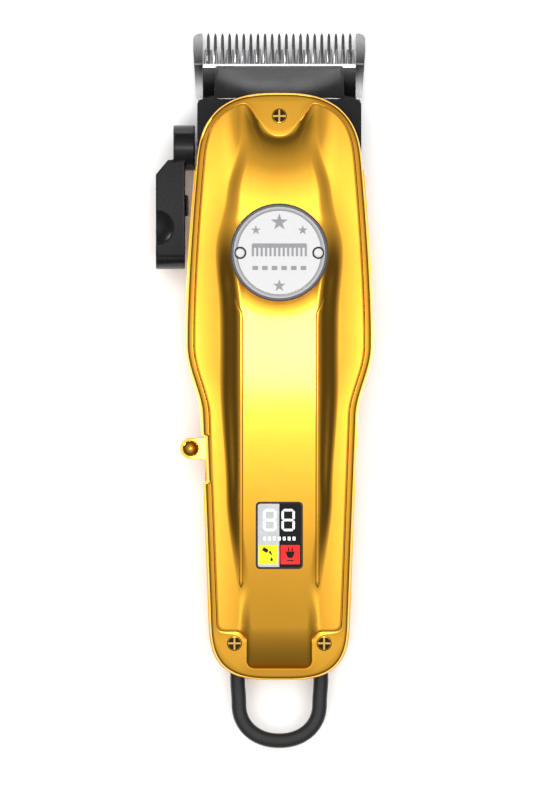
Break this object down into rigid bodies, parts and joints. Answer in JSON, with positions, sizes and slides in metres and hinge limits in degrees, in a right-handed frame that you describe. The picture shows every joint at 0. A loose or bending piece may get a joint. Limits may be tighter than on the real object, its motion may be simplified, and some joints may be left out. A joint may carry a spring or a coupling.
{
  "type": "hair clipper",
  "caption": "Cordless hair clipper with a gold housing, steel blades, a side taper lever, a display window and a hanging loop.",
  "frame": {"origin": "on the flat rest face of the back shell, on the centreline, below the front of the waist", "axes": "+Z out of the face with the display, +Y towards the blades, -X towards the taper lever"},
  "size_m": [0.0579, 0.1906, 0.0364],
  "materials": {
    "gold": "mirror gold plating",
    "black_plastic": "glossy black moulding",
    "lever_black": "satin black moulding",
    "loop_black": "satin black moulding",
    "inner_plastic": "moulded plastic",
    "screw_chrome": "plated screw",
    "chrome": "polished chrome",
    "badge_satin": "satin disc with grey print",
    "display_glass": "dark display window",
    "blade_steel": "ground blade steel",
    "cutter_chrome": "ground and polished blade steel",
    "steel": "plain steel",
    "dark_steel": "blackened steel",
    "battery_wrap": "shrink sleeve",
    "board": "solder mask"
  },
  "bodies": {
    "housing": {"face_cover": "gold", "back_shell": "gold", "nose_frame": "black_plastic", "nose_hood": "black_plastic", "cover_screw_front": "screw_chrome", "cover_screw_rear_left": "screw_chrome", "cover_screw_rear_right": "screw_chrome", "badge_ring": "chrome", "badge_plate": "badge_satin", "badge_pin_left": "chrome", "badge_pin_right": "chrome", "display_frame": "black_plastic", "display_lens": "display_glass", "display_module": "black_plastic", "motor_can": "steel", "motor_end_cap": "inner_plastic", "bracket_screw_left": "steel", "bracket_screw_right": "steel", "motor_bracket": "dark_steel", "battery_cell": "battery_wrap", "battery_cradle": "inner_plastic", "circuit_board": "board", "charge_socket": "steel", "socket_surround": "black_plastic", "switch_body": "inner_plastic", "hanging_loop": "loop_black"},
    "lever": {"taper_lever": "lever_black", "lever_shaft": "steel", "lever_cam": "dark_steel", "lever_screw": "screw_chrome"},
    "carriage": {"blade_carriage": "dark_steel", "comb_blade": "blade_steel", "blade_screw_left": "steel", "blade_screw_right": "steel", "tension_spring": "steel"},
    "cutter": {"cutter_blade": "cutter_chrome", "cutter_yoke": "inner_plastic"},
    "rotor": {"motor_shaft": "steel", "eccentric_hub": "dark_steel"},
    "toggle": {"power_toggle": "gold", "toggle_slider": "inner_plastic"}
  },
  "joints": [
    {"name": "taper_lever_turn", "type": "hinge", "parent": "housing", "child": "lever", "pos_m": [-0.025, 0.0671, 0.013], "axis": [1, 0, 0], "range_deg": [-50.2, 0]},
    {"name": "comb_slide", "type": "slide", "parent": "housing", "child": "carriage", "axis": [0, 1, 0], "range_m": [-0.0024, 0]},
    {"name": "cutter_slide", "type": "slide", "parent": "housing", "child": "cutter", "axis": [1, 0, 0], "range_m": [-0.0011, 0.0011]},
    {"name": "motor_turn", "type": "hinge", "parent": "housing", "child": "rotor", "pos_m": [0, 0.058, 0.0144], "axis": [0, 1, 0], "continuous": true},
    {"name": "power_slide", "type": "slide", "parent": "housing", "child": "toggle", "axis": [0, 1, 0], "range_m": [-0.0056, 0]}
  ],
  "couplings": [
    {"joint": "taper_lever_turn", "follows": "comb_slide", "rad_per_m": 364}
  ]
}
